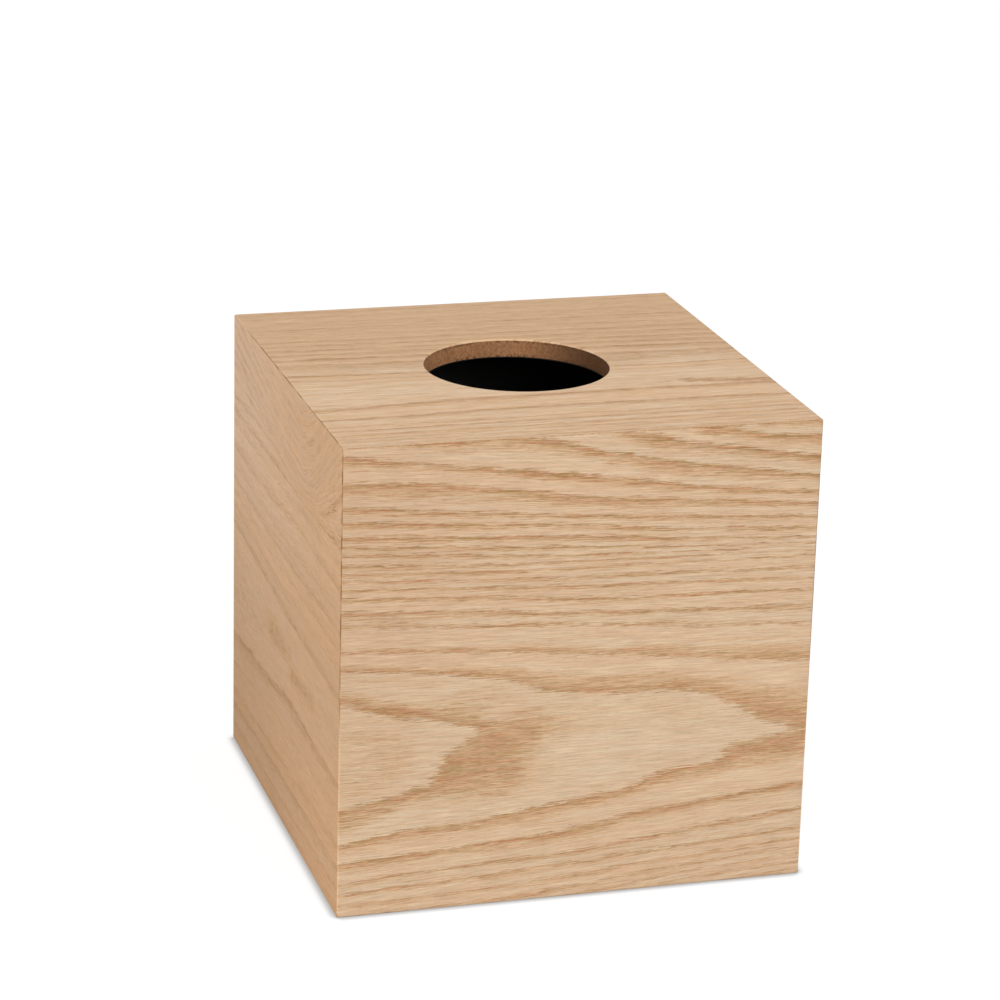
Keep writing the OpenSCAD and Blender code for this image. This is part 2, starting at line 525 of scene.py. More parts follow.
FRONT_BEYOND = [
    (0.7, [(0, 48.8), (40, 51), (60, 53), (90, 54.4), (140, 57.3)]),
    (0.8, [(0, 44), (40, 46), (62, 48.5), (83, 50), (140, 51)]),
    (0.7, [(0, 41.2), (40, 43.3), (70, 45), (140, 48)]),
    (0.7, [(0, 38.8), (60, 42.2), (100, 43.3), (140, 45)]),
    (0.65, [(0, 36.7), (42, 38.6), (100, 39.8), (140, 40.8)]),
    (0.75, [(0, 34.3), (25, 36), (50, 37.3), (75, 37.6)]),
    (0.7, [(0, 31), (38, 33.4), (70, 35.8), (140, 38)]),
    (0.75, [(0, 29), (38, 31.3), (70, 33.3), (105, 35.6), (140, 36.8)]),
    (0.85, [(0, 26.3), (31, 28), (58, 29.8), (85, 32), (140, 35.4)]),
    (0.75, [(0, 21.8), (30, 24), (70, 26.6), (100, 30), (140, 32.3)]),
    (0.85, [(0, 17.8), (20, 20), (55, 23), (105, 27.4), (140, 29.3)]),
    (0.8, [(0, 11.5), (30, 13.2), (60, 17.3), (80, 20.5), (110, 22.5), (140, 25.4)]),
    (0.9, [(0, 3.8), (30, 7.6), (60, 12), (80, 14.5), (100, 18), (140, 21.8)]),
    (0.85, [(44, 0.6), (55, 1.8), (65, 3.7), (76, 6.8), (88, 9.6), (111, 13), (140, 17.2)]),
    (0.95, [(82, 0.6), (91, 2.5), (97, 4.6), (106, 6.4), (115, 7.6), (132, 10.3), (140, 11.5)]),
    (1.0, [(108, 0.5), (114, 1.7), (119, 3.5), (127, 4.6), (140, 5.6)]),
]
FRONT_BELOW = [
    (0.78, [(0, 123.8), (20, 122.6), (60, 120.3), (90, 115.8), (120, 113), (140, 111)]),
    (0.7, [(0, 129.8), (35, 127.5), (70, 126.3), (103, 122.8), (140, 119)]),
    (0.7, [(0, 133), (32, 131.2), (70, 129.4), (100, 127.8), (140, 124.8)]),
    (0.5, [(0, 136.5), (55, 135), (92, 131.6), (140, 128.6)]),
    (0.55, [(0, 140.5), (60, 138.2), (93, 134.5), (140, 131.3)]),
    (0.55, [(73, 139.6), (103, 135.9), (140, 133.6)]),
]
# How far a band reaches, as a share of the usual: thin and crisp above the tongues, wide at their tips
FRONT_REACHES = [
    (1.0, [(0, 5), (70, 5)]),
    (1.6, [(95, 2), (140, 3)]),
    (1.0, [(0, 48), (80, 50)]),
    (0.55, [(110, 52), (140, 53)]),
    (0.4, [(0, 59), (50, 62), (80, 65)]),
    (0.75, [(105, 68.5), (140, 72)]),
    (0.9, [(0, 65), (15, 66.5)]),
    (1.6, [(38, 69.5), (60, 74), (95, 76.5)]),
    (1.5, [(124, 82), (138, 88)]),
    (0.6, [(0, 74), (20, 79.5)]),
    (0.35, [(30, 81), (45, 83)]),
    (0.85, [(40, 92), (58, 91), (90, 91)]),
    (0.7, [(34, 100), (20, 106)]),
    (1.1, [(20, 116), (60, 112.5)]),
    (0.8, [(85, 109), (115, 103)]),
    (1.0, [(0, 125), (70, 122)]),
    (0.65, [(105, 116), (140, 113)]),
    (1.0, [(0, 137), (140, 137)]),
    (2.2, [(0, 85), (18, 88)]),
    (2.2, [(0, 99), (16, 96)]),
]
# Lines along the fibres are (distance across the fibre, points)
FRONT_FIBRES = straight([
    (0, -3.5, 3.5), (25, 22, 28), (46, 44, 48), (62, 60, 64), (90, 90, 90),
    (106, 107, 105), (116, 118.5, 113.5), (130, 133.5, 126.5), (140, 144, 136),
])

# %% Growth lines of the left leaf, from the back edge to the front edge
LEFT_EYES = [(0.9, [(55, 81.5), (66, 83), (78, 82.5)]), (1.0, [(82, 87.6), (91, 88.2), (106, 87)])]
LEFT_PALEST = 0.62
LEFT_BETWEEN = [(0, 78), (30, 79), (60, 79.5), (90, 80.5), (140, 81.5)]
LEFT_UNDER = [(0, 92), (30, 91), (70, 87.5), (80, 84.8), (100, 84), (140, 84.5)]
LEFT_LOWEST = [(60, 92.5), (85, 91.5), (110, 90.5), (140, 91)]
LEFT_ABOVE = [
    (0.65, [(0, 67), (30, 69), (60, 71), (75, 72.3), (100, 73), (140, 74.5)]),
    (0.35, [(0, 61.5), (60, 66), (140, 66)]),
    (0.3, [(0, 57), (60, 60.5), (140, 60)]),
    (0.5, [(0, 52.5), (60, 55), (140, 54.5)]),
    (0.25, [(0, 48), (60, 49.5), (140, 49.5)]),
    (0.55, [(0, 42.5), (30, 43), (85, 41), (140, 42)]),
    (0.3, [(0, 34.5), (140, 35)]),
    (0.6, [(0, 30.5), (100, 30.3), (140, 30)]),
]
LEFT_CHEVRONS = [
    (0.45, [(0, 20), (60, 23), (95, 28), (112, 27), (125, 18), (140, 8)]),
    (0.45, [(0, 12), (50, 19), (95, 24), (110, 21), (125, 11), (140, 0)]),
    (0.45, [(0, 4), (50, 13), (95, 18), (107, 14), (120, 4)]),
    (0.4, [(20, 0), (60, 8), (93, 12), (108, 2)]),
    (0.35, [(55, 0), (92, 5)]),
]
LEFT_BELOW = [
    (0.9, [(0, 103), (30, 101), (45, 100.8), (60, 99), (75, 97), (105, 98), (140, 99)]),
    (0.3, [(0, 113), (60, 108), (140, 106)]),
    (0.4, [(0, 122), (60, 120), (140, 117)]),
    (0.6, [(0, 127), (60, 125), (140, 124)]),
    (0.4, [(0, 134), (140, 131)]),
    (0.3, [(0, 139.5), (140, 137)]),
]
LEFT_FIBRES = [
    (-6, [(0, -14), (50, -5), (95, 3), (110, -4), (140, -28)]),
    (8, [(0, 0), (50, 9), (95, 18), (110, 12), (140, -12)]),
    (20, [(0, 14), (50, 21), (95, 27), (110, 22), (140, 3)]),
    (30.5, [(0, 31), (140, 30)]),
    (49, [(0, 48.5), (140, 49.5)]),
    (72, [(0, 69), (70, 72), (140, 74.5)]),
    (86, [(0, 85), (140, 86.5)]),
    (99, [(0, 102), (70, 98), (140, 98.5)]),
    (118, [(0, 121), (140, 116)]),
    (138, [(0, 139.5), (140, 136.5)]),
]

# %% Growth lines of the top leaf, from the back edge to the front edge
TOP_LINES = [
    (0.25, [(0, 2.5), (140, 4)]),
    (0.15, [(0, 8.5), (140, 8)]),
    (0.1, [(0, 14), (140, 15)]),
    (0.35, [(0, 20.8), (70, 22.4), (140, 23.3)]),
    (0.2, [(0, 23), (70, 24.8), (140, 26)]),
    (0.2, [(0, 27.8), (140, 31)]),
    (0.35, [(0, 34.3), (50, 35), (140, 36.5)]),
    (0.35, [(0, 38.8), (45, 39.7), (140, 42.2)]),
    (0.4, [(0, 43.3), (45, 45), (95, 46), (140, 48.4)]),
    (0.4, [(0, 48.3), (45, 49.5), (95, 50.6), (140, 53)]),
    (0.6, [(0, 53), (42, 55), (97, 56), (140, 58.6)]),
    (0.4, [(0, 59), (42, 61), (97, 63.6), (140, 65.3)]),
    (0.6, [(0, 70), (20, 71.7), (40, 73), (97, 77.6), (140, 77)]),
    (0.35, [(0, 75), (40, 77), (97, 80.6), (140, 81)]),
    (0.55, [(0, 105), (25, 103.4), (40, 102), (70, 101.2), (100, 101), (140, 101.3)]),
    (0.48, [(0, 114.4), (30, 113.6), (70, 112.4), (100, 112.9), (140, 114)]),
    (0.3, [(0, 121), (140, 120.8)]),
    (0.5, [(0, 124.6), (140, 124.2)]),
    (0.35, [(0, 128.8), (140, 128.4)]),
    (0.35, [(0, 132.3), (140, 132)]),
    (0.15, [(0, 134.2), (140, 134)]),
    (0.25, [(0, 138), (140, 137.7)]),
]
TOP_TONGUE = [
    (0.6, [(140, 97), (125, 95.4), (112, 93.2), (109, 94), (113, 96), (127, 98.2), (140, 99.4)]),
]
TOP_AROUND = [
    (14.7, [(0, 93), (60, 91.5), (95, 90.5), (140, 92)]),
    (15.2, [(115, 94.6), (126, 96.6), (140, 98.2)]),
    (14.88, [(70, 97), (105, 98.6), (140, 100.7)]),
]
TOP_REACHES = straight([
    (1.0, 5, 5), (1.0, 62, 66), (0.35, 84, 87), (0.6, 116, 116), (1.0, 124, 124),
]) + [
    (1.0, [(110, 95), (140, 98)]),
    (0.5, [(0, 104), (70, 103), (140, 104)]),
]
TOP_FIBRES = straight([(10, 9, 11), (50, 48, 52), (75, 73, 77), (102, 103, 101.5), (130, 130.5, 130)])

# %% Growth lines of the right and back leaves, which the photograph does not show
RIGHT_ABOVE = [
    (0.9, [(0, 62), (40, 64), (80, 69), (105, 76), (118, 84), (105, 90), (70, 95), (30, 98), (0, 99)]),
    (0.6, [(0, 54), (40, 56), (90, 60), (140, 66)]),
    (0.5, [(0, 47), (50, 48), (100, 51), (140, 55)]),
    (0.7, [(0, 40), (60, 42), (140, 47)]),
    (0.5, [(0, 34), (60, 35), (140, 40)]),
    (0.4, [(0, 29), (70, 31), (140, 34)]),
    (0.6, [(0, 24), (60, 26), (140, 29)]),
    (0.5, [(0, 17), (70, 20), (140, 22)]),
    (0.7, [(0, 10), (70, 13), (140, 16)]),
    (0.5, [(0, 3), (70, 7), (140, 9)]),
]
RIGHT_BELOW = [
    (0.8, [(0, 107), (50, 104), (100, 99), (140, 95)]),
    (0.5, [(0, 113), (60, 111), (140, 105)]),
    (0.6, [(0, 119), (70, 117), (140, 112)]),
    (0.5, [(0, 124), (70, 122.5), (140, 118)]),
    (0.7, [(0, 130), (70, 128), (140, 125)]),
    (0.5, [(0, 136), (70, 135), (140, 132)]),
]
RIGHT_AXIS = [(0.4, [(0, 81), (40, 82), (70, 83)])]
RIGHT_FIBRES = straight([(5, 3, 7), (40, 38, 42), (82, 81, 83), (115, 118, 112), (138, 140, 136)])
BACK_TONGUES = [
    (0.9, [(140, 40), (110, 43), (84, 47), (74, 51.5), (71, 56), (77, 60), (90, 65), (115, 68), (140, 70)]),
    (0.8, [(140, 31), (90, 34), (50, 38), (26, 44), (13, 50), (9, 56), (18, 62.5), (40, 70), (80, 75),
           (110, 77), (140, 79)]),
]
BACK_AXIS = [(0.4, [(140, 55), (120, 55)]), (0.8, [(90, 56)]), (1.35, [(54, 56)]), (1.75, [(28, 56)])]
BACK_ABOVE = [
    (0.8, [(0, 33), (50, 29), (100, 25), (140, 23)]),
    (0.6, [(0, 25), (60, 21), (140, 16)]),
    (0.6, [(0, 19), (60, 15), (140, 10)]),
    (0.8, [(0, 12), (60, 9), (140, 4)]),
    (0.6, [(0, 5), (60, 2)]),
]
BACK_BELOW = [
    (0.8, [(0, 77), (40, 80), (90, 85), (140, 88)]),
    (0.6, [(0, 86), (60, 89), (140, 95)]),
    (0.5, [(0, 92), (60, 95), (140, 100)]),
    (0.7, [(0, 98), (60, 101), (140, 105)]),
    (0.5, [(0, 103), (70, 106), (140, 110)]),
    (0.6, [(0, 109), (70, 112), (140, 115)]),
    (0.5, [(0, 115), (70, 117), (140, 121)]),
    (0.7, [(0, 121), (70, 124), (140, 127)]),
    (0.5, [(0, 128), (70, 130), (140, 133)]),
    (0.6, [(0, 135), (70, 137), (140, 139)]),
]
BACK_FIBRES = straight([(2, 4, 0), (28, 30, 26), (55, 55, 55), (90, 88, 92), (135, 133, 137)])


# %% Number the lines
def numbered(lines, first, step, read_at=0.0):
    """Growth lines with their ring numbers. A thin line is read at the middle of its band, not its edge."""
    return [(first + step * order + read_at, points) for order, (_, points) in enumerate(lines)]


FIGURES = {
    "front": {
        "rings": numbered(FRONT_TONGUES, 1, 1)
        + FRONT_AXIS
        + numbered(FRONT_ABOVE, 3, 1)
        + FRONT_CREST
        + numbered(FRONT_BEYOND, 4, -1, 0.18)
        + numbered(FRONT_BELOW, 3, 1, 0.05),
        "bands": FRONT_TONGUES + FRONT_SOFT + FRONT_ABOVE + FRONT_BEYOND + FRONT_BELOW,
        "fibres": FRONT_FIBRES,
        "reaches": FRONT_REACHES,
    },
    "left": {
        "rings": numbered(LEFT_EYES, 0.2, 0)
        + [(LEFT_PALEST, line) for line in (LEFT_BETWEEN, LEFT_UNDER, LEFT_LOWEST)]
        + numbered(LEFT_ABOVE, 1, 1)
        + numbered(LEFT_CHEVRONS, 10, 2)
        + numbered(LEFT_BELOW, 1, 1),
        "bands": LEFT_EYES + LEFT_ABOVE + LEFT_CHEVRONS + LEFT_BELOW,
        "fibres": LEFT_FIBRES,
    },
    "top": {
        "rings": numbered(TOP_LINES, 1, 1, 0.1) + numbered(TOP_TONGUE, 15, 0) + TOP_AROUND,
        "bands": TOP_LINES + TOP_TONGUE,
        "fibres": TOP_FIBRES,
        "reaches": TOP_REACHES,
    },
    "right": {
        "rings": numbered(RIGHT_ABOVE, 1, 1) + numbered(RIGHT_BELOW, 2, 1) + RIGHT_AXIS,
        "bands": RIGHT_ABOVE + RIGHT_BELOW,
        "fibres": RIGHT_FIBRES,
    },
    "back": {
        "rings": numbered(BACK_TONGUES, 1, 1)
        + BACK_AXIS
        + numbered(BACK_ABOVE, 3, 1)
        + numbered(BACK_BELOW, 3, 1),
        "bands": BACK_TONGUES + BACK_ABOVE + BACK_BELOW,
        "fibres": BACK_FIBRES,
    },
}
for face, figure in FIGURES.items():
    print(face, "growth lines:", len(figure["bands"]), "points:", sum(len(p) for _, p in figure["rings"]))


# %% Write the figure on a leaf
EDGE_STRAY = 0.56
CLOSE_PACE = 0.2
END_STRAY_MM = 5.0
BAND_RANGE = (0.15, 1.5)
# Leaves are this far apart in the noise, so that no two of them have the same marks
LEAF_APART = 37.0
EVEN_REACH = straight([(1.0, 0, 0), (1.0, LEAF_MM, LEAF_MM)])


def write_attribute(mesh, name, kind, field, values):
    """Stores one value for each point of a mesh, for its material to read."""
    attribute = mesh.attributes.new(name, kind, "POINT")
    attribute.data.foreach_set(field, np.ascontiguousarray(values, dtype=np.float32).ravel())


def draw_figure(mesh, figure, leaf_number, width, height):
    """Gives each point of a flat leaf its ring number, its band's darkness and reach, and its fibre place."""
    places = np.zeros(len(mesh.vertices) * 3)
    mesh.vertices.foreach_get("co", places)
    along, up, _ = places.reshape(-1, 3).T / MM
    along = along + width / 2 / MM
    down = height / 2 / MM - up
    columns, rows = round(width / MM), round(height / MM)
    ring = lattice(figure["rings"], columns, rows)
    band = lattice(figure["bands"], columns, rows)
    across = lattice(figure["fibres"], columns, rows)
    reach = lattice(figure.get("reaches", EVEN_REACH), columns, rows)
    slope_down, slope_along = np.gradient(ring)
    # The pace is in rings to a millimetre. An edge strays less where the rings are close together, and
    # more where the fibre runs across it
    pace = np.hypot(slope_down, slope_along)
    stray = EDGE_STRAY * (1 - np.exp(-pace / CLOSE_PACE)) + np.abs(slope_along) * END_STRAY_MM
    band = np.clip(band, *BAND_RANGE)
    for name, values in {"ring": ring, "band": band, "stray": stray, "reach": reach}.items():
        write_attribute(mesh, name, "FLOAT", "value", read_lattice(values, along, down))
    leaf = np.full(len(along), LEAF_APART * leaf_number)
    fibre = np.column_stack([along, read_lattice(across, along, down), leaf])
    write_attribute(mesh, "fibre", "FLOAT_VECTOR", "vector", fibre)


# %% [markdown]
# ## Wood as a material
# All the wood here shares one effect: marks that are long along the fibre and narrow across it. It is a
# noise texture whose space is stretched, kept as a node group. The oak group adds the growth rings: the
# ring number, ruffled by such marks so that its edges are ragged like a comb, is cut into whole rings. In
# each ring a band starts sharp and fades, as an ochre stain crowded with dark dashes. Pores are short dark
# dashes too, thickest in the bands, and they are shallow grooves, so they lower the surface for the bump.


# %% Colours as a paint maker names them
WHITE = (1.0, 1.0, 1.0, 1.0)
CODE_PLACES = (1, 3, 5)
FULL_CODE = 255
# The Mix node has sockets of one name for each kind of value, so its colours are fed by number
MIX_ONE, MIX_OTHER, MIX_RESULT = 6, 7, 2


def paint(code):
    """A colour from its web code, as the light that it reflects."""
    shades = [int(code[place : place + 2], 16) / FULL_CODE for place in CODE_PLACES]
    return (*Color(shades).from_srgb_to_scene_linear(), 1.0)


def blend(tree, one, other, share, blend_type="MIX"):
    """A colour the given share of the way from one to the other."""
    inputs = {"Factor": share, MIX_ONE: one, MIX_OTHER: other}
    made = add_node(tree, "ShaderNodeMix", inputs, data_type="RGBA", blend_type=blend_type)
    return made.outputs[MIX_RESULT]


def shade(tree, colour, amount):
    """A colour made lighter or darker by a number that is 1 where it stays."""
    return blend(tree, colour, join(tree, amount, amount, amount), 1.0, "MULTIPLY")


# %% Marks stretched along the fibre
STREAK_INPUTS = {
    "Place": (VECTOR, None),
    "Length": (FLOAT, 10.0),
    "Width": (FLOAT, 1.0),
    "Seed": (FLOAT, 0.0),
    "Detail": (FLOAT, 2.0),
}
MEAN = 0.5


def speckles(tree, place, scale, detail):
    """Noise without a direction, as a number that is a half on average."""
    inputs = {"Vector": place, "Scale": scale, "Detail": detail}
    return Number(tree, add_node(tree, "ShaderNodeTexNoise", inputs).outputs[0])


def streak_group():
    """Noise whose patches are Length long and Width wide, in the units of Place."""
    tree, given, result = new_tree("streaks", "ShaderNodeTree", STREAK_INPUTS, {"Value": FLOAT})
    x, y, z = split(tree, given["Place"])
    length, width, seed = (Number(tree, given[name]) for name in ("Length", "Width", "Seed"))
    stretched = join(tree, x / length, y / width, z + seed)
    feed(tree, result["Value"], speckles(tree, stretched, 1.0, given["Detail"]))
    return tree


STREAKS = streak_group()


def streaks(tree, place, length, width, seed, detail=2.0):
    """The streaks group placed in a tree, as a number that is a half on average."""
    values = {"Place": place, "Length": length, "Width": width, "Seed": seed, "Detail": detail}
    made = add_node(tree, "ShaderNodeGroup", values, node_tree=STREAKS)
    return Number(tree, made.outputs["Value"])


# %% The marks of oak
# Length and width in millimetres, seed and, where it isn't 2, detail of each kind of mark
OAK_MARKS = {
    "wander": (40.0, 6.0, 1.0),
    "teeth": (10.0, 0.34, 2.0),
    "fine teeth": (4.0, 0.18, 3.0),
    "patch": (24.0, 1.4, 4.0),
    "dash": (8.0, 0.28, 5.0),
    "pore": (4.6, 0.26, 6.0, 1.0),
    "fleck": (2.0, 0.2, 7.0, 1.0),
    "pink": (22.0, 1.3, 8.0),
    "russet": (14.0, 1.0, 9.0),
    "hair": (9.0, 0.3, 10.0, 3.0),
    "cloud": (45.0, 8.0, 11.0),
    "line": (34.0, 0.38, 12.0),
    "tick": (7.0, 0.2, 13.0),
}
# The noise at which a mark begins, and at which it is full
OAK_LIMITS = {
    "patch": (0.28, 0.68),
    "dash": (0.57, 0.68),
    "pore": (0.53, 0.67),
    "fleck": (0.58, 0.72),
    "pink": (0.35, 0.65),
    "russet": (0.38, 0.62),
    "line": (0.44, 0.72),
    "tick": (0.68, 0.76),
}
# How much sooner a mark begins where dark marks crowd together
SOONER = {"dash": 0.2, "pore": 0.1, "fleck": 0.06}


def mask(noise, name, more=0.0):
    """One kind of mark: 0 between the marks and 1 on them. More of them show where more is added."""
    return (noise[name] + more).rise(*OAK_LIMITS[name])


# %% Year-rings with ragged edges: a slow wander, long teeth and short teeth
STRAY_SHARES = {"wander": 0.6, "teeth": 1.8, "fine teeth": 1.2}


def ragged_rings(tree, noise, number):
    """How far through its ring each point lies, from 0 to 1, and a number that each ring has by chance."""
    stray = weighed({name: noise[name] - MEAN for name in STRAY_SHARES}, STRAY_SHARES)
    turned = number["Ring"] + stray * number["Stray"]
    whole = {"W": turned.of("FLOOR")}
    chance = add_node(tree, "ShaderNodeTexWhiteNoise", whole, noise_dimensions="1D").outputs["Value"]
    return turned.of("FRACT"), Number(tree, chance)


# %% The dark bands
CLOSE_STRAY = 0.52
# Each pair is for rings that lie far apart, and for rings close together
BAND_REACH = (1.5, 0.9)
BAND_SHOW = (0.85, 1.15)
GAP_SHOW = (0.3, 0.65)
LINE_SHOW = (0.07, 0.37)
# The share of its reach over which a band is full, and the parts of a turn between which its edge fades
FULL_SHARE = 0.15
CRISP_TURNS = (0.2, 0.04)
CRISP_SHOW = 0.2


def crowding(noise, number, turn, crisp, close):
    """How crowded with dark marks the wood is. A band starts sharp, thins out, and comes and goes."""
    reach = number["Fade"] * number["Reach"] * between(*BAND_REACH, close)
    fade = turn.rise(reach, reach * FULL_SHARE)
    gaps = (1 - mask(noise, "patch")) * between(*GAP_SHOW, close)
    crowd = number["Band"] * (fade * (1 - gaps) + crisp * CRISP_SHOW)
    return crowd * between(*BAND_SHOW, close) + mask(noise, "line") * between(*LINE_SHOW, close)


# %% The pores
# Each pair is for pale wood, and for the dark of a band
PORE_SHOW = (0.18, 0.88)
FLECK_SHOW = (0.3, 0.7)
TICK_SHOW = 0.5


def open_pores(noise, number, crowd):
    """Short dark dashes, crowded in the bands and few in the pale wood, with a few long ticks."""
    pores = mask(noise, "pore", crowd * SOONER["pore"]) * between(*PORE_SHOW, crowd)
    flecks = mask(noise, "fleck", crowd * SOONER["fleck"]) * between(*FLECK_SHOW, crowd)
    return (pores + flecks + mask(noise, "tick") * TICK_SHOW).clamped() * number["Flecks"]


# %% Sanded arrises with a painted highlight, glue lines, and painted shade at the foot
# How far over an arris its sanded wood with its painted highlight, and the glue line beyond it, begin and are
# full
SANDED_HIGHLIGHT_TURNS = (0.05, 0.5)
END_SEAM_TURNS = (0.15, 0.6)
LONG_SEAM_TURNS = (0.3, 0.9)
SANDED_HIGHLIGHT_PALER = 0.18
LONG_SEAM_SHOW = 0.75


def worked_edges_and_light(tree, given, number, wood):
    """The wood, paler on a sanded arris across the fibre, partly as a painted highlight, and dark in the glue
    line of a mitre and, as painted shade, along the foot.
    """
    end, long, rim = split(tree, given["Edge"])
    # The paler arris is partly sanded wood and partly a painted highlight
    wood = shade(tree, wood, 1 + end.of("MAXIMUM", rim).rise(*SANDED_HIGHLIGHT_TURNS) * SANDED_HIGHLIGHT_PALER)
    # The glue line, and the painted shade at the foot, darken these arrises
    seam_and_foot_shade = end.rise(*END_SEAM_TURNS) + long.rise(*LONG_SEAM_TURNS) * LONG_SEAM_SHOW
    return blend(tree, wood, given["Pore"], seam_and_foot_shade.clamped() * number["Seam"])


# %% The oak group
OAK_INPUTS = {
    "Ring": (FLOAT, 0.0),
    "Band": (FLOAT, 1.0),
    "Stray": (FLOAT, 0.2),
    "Fibre": (VECTOR, None),
    "Edge": (VECTOR, None),
    "Seam": (FLOAT, 0.0),
    "Blush And Sheen": (FLOAT, 0.0),
    "Reach": (FLOAT, 1.0),
    "Hair": (FLOAT, 0.75),
    "Flecks": (FLOAT, 1.0),
    "Mottle": (FLOAT, 1.0),
    "Tone And Shade": (FLOAT, 1.0),
    "Pale": (COLOR, paint("#e2caaa")),
    "Pale Pink": (COLOR, paint("#dbb998")),
    "Ochre": (COLOR, paint("#d6a876")),
    "Olive": (COLOR, paint("#ae8e5c")),
    "Russet": (COLOR, paint("#c48260")),
    "Pore": (COLOR, paint("#94683f")),
    "Fade": (FLOAT, 0.5),
    "Contrast": (FLOAT, 1.0),
}
OAK_OUTPUTS = {"Color": COLOR, "Roughness": FLOAT, "Height": FLOAT}
# How strongly the stain, the dashes and the pores show
STAIN_SHOW = 0.82
DASH_SHOW = (0.2, 0.7)
CRISP_SOONER = 0.06
PORE_DARK = 0.5
# How much the streaks, the chance of each ring and the closeness of the rings do to the tone
PINK_SHOW = 0.6
YEAR_PINK = 0.3
CLOSE_PINK = 0.25
YEAR_LIGHT = 0.04
CLOUD_LIGHT = 0.12
OAK_ROUGH = 0.6
ROUGHER = {"pores": 0.2, "dashes": 0.08, "hair": 0.12}
HIGHER = {"pores": -0.8, "dashes": -0.3, "hair": 0.5}


def oak_group():
    """Ring-porous wood from a ring number and a place along and across the fibre, in millimetres."""
    tree, given, result = new_tree("oak", "ShaderNodeTree", OAK_INPUTS, OAK_OUTPUTS)
    scalars = [name for name, (kind, _) in OAK_INPUTS.items() if kind == FLOAT]
    number = {name: Number(tree, given[name]) for name in scalars}
    noise = {name: streaks(tree, given["Fibre"], *sizes) for name, sizes in OAK_MARKS.items()}
    turn, year = ragged_rings(tree, noise, number)
    # A band is an ochre stain crowded with dark dashes
    close = (number["Stray"] / CLOSE_STRAY).clamped()
    crisp = turn.rise(*CRISP_TURNS)
    crowd = crowding(noise, number, turn, crisp, close)
    stain = (crowd * STAIN_SHOW * number["Contrast"]).clamped()
    dashes = mask(noise, "dash", crowd * SOONER["dash"] + crisp * CRISP_SOONER)
    dashes = (dashes * between(*DASH_SHOW, crowd) * number["Contrast"]).clamped()
    pores = open_pores(noise, number, crowd)
    # Slow changes of colour, and the fine lines of the fibre
    hair, cloud = noise["hair"] - MEAN, noise["cloud"] - MEAN
    warm = (mask(noise, "pink") * PINK_SHOW + year * YEAR_PINK) * number["Mottle"]
    warm = (warm + close * CLOSE_PINK + number["Blush And Sheen"]).clamped()
    pale = blend(tree, given["Pale"], given["Pale Pink"], warm)
    dark = blend(tree, given["Olive"], given["Russet"], mask(noise, "russet"))
    wood = blend(tree, blend(tree, pale, given["Ochre"], stain), dark, dashes)
    light = 1 + hair * number["Hair"] + (year - MEAN) * YEAR_LIGHT + cloud * CLOUD_LIGHT
    wood = shade(tree, wood, light * number["Tone And Shade"])
    wood = blend(tree, wood, given["Pore"], pores * PORE_DARK)
    feed(tree, result["Color"], worked_edges_and_light(tree, given, number, wood))
    marks = {"pores": pores, "dashes": dashes, "hair": hair}
    feed(tree, result["Roughness"], OAK_ROUGH + weighed(marks, ROUGHER))
    feed(tree, result["Height"], 1 + weighed(marks, HIGHER))
    return tree


OAK = oak_group()
print("oak group nodes:", len(OAK.nodes))


# %% [markdown]
# ## The oak of each leaf
# The five leaves are the same kind of oak, but each has its own tone: the top has the strongest bands, and
# the left one is paler and quieter, with a browner pink that partly paints the shade on that side. So each
# gets a material of its own, with its own values for the one oak group. It reads the figure from the points
# of the leaf, lets the colour drift slowly over it, partly as painted light and shade on the left and top
# leaves, and darkens the glue line in the mitres and, as painted shade, the foot.

# %% Helpers for every material
PLAIN_GLOSS = 0.5


def clear_tree(owner, output_kind):
    """The emptied node tree of a material or a world, and the socket that its surface goes to."""
    owner.use_nodes = True
    owner.node_tree.nodes.clear()
    return owner.node_tree, owner.node_tree.nodes.new(output_kind).inputs["Surface"]


def new_material(name):
    """A material with an empty tree, and its Principled shader linked to the output."""
    material = bpy.data.materials.new(name)
    tree, surface = clear_tree(material, "ShaderNodeOutputMaterial")
    shader = tree.nodes.new("ShaderNodeBsdfPrincipled")
    tree.links.new(shader.outputs[0], surface)
    return material, tree, shader


def attribute(tree, name, output="Fac"):
    """A value that the mesh carries for each of its points."""
    return add_node(tree, "ShaderNodeAttribute", attribute_name=name).outputs[output]


def object_place_mm(tree):
    """The place on the object, in millimetres, as three numbers."""
    place = add_node(tree, "ShaderNodeTexCoord").outputs["Object"]
    return [axis / MM for axis in split(tree, place)]


def feed_shader(tree, shader, colour, roughness, height, depth_mm, gloss=PLAIN_GLOSS):
    """Feeds colour, roughness, and a height from 0 to 1 as relief of a depth in millimetres."""
    feed(tree, shader.inputs["Base Color"], colour)
    feed(tree, shader.inputs["Roughness"], roughness)
    bump = add_node(tree, "ShaderNodeBump", {"Height": height, "Distance": depth_mm * MM})
    feed(tree, shader.inputs["Normal"], bump.outputs[0])
    shader.inputs["Specular IOR Level"].default_value = gloss


# %% What differs from leaf to leaf
PORE_DEPTH_MM = 0.035
OAK_GLOSS = 0.12
LEAVES = {
    "top": {
        "Contrast": 1.35,
        "Fade": 0.6,
        "Mottle": 1.3,
        "Pale": paint("#e6cdaf"),
        "Pale Pink": paint("#ddb892"),
        "Ochre": paint("#cfa77f"),
        "Russet": paint("#bd8364"),
    },
    "front": {"Contrast": 0.9},
    "right": {"Contrast": 0.9},
    "back": {},
    # The left leaf's browner pink partly paints the shade on that side
    "left": {
        "Contrast": 0.38,
        "Fade": 0.6,
        "Hair": 0.5,
        "Flecks": 0.8,
        "Mottle": 0.3,
        "Pale": paint("#e9c9ab"),
        "Pale Pink": paint("#deac7b"),
    },
}
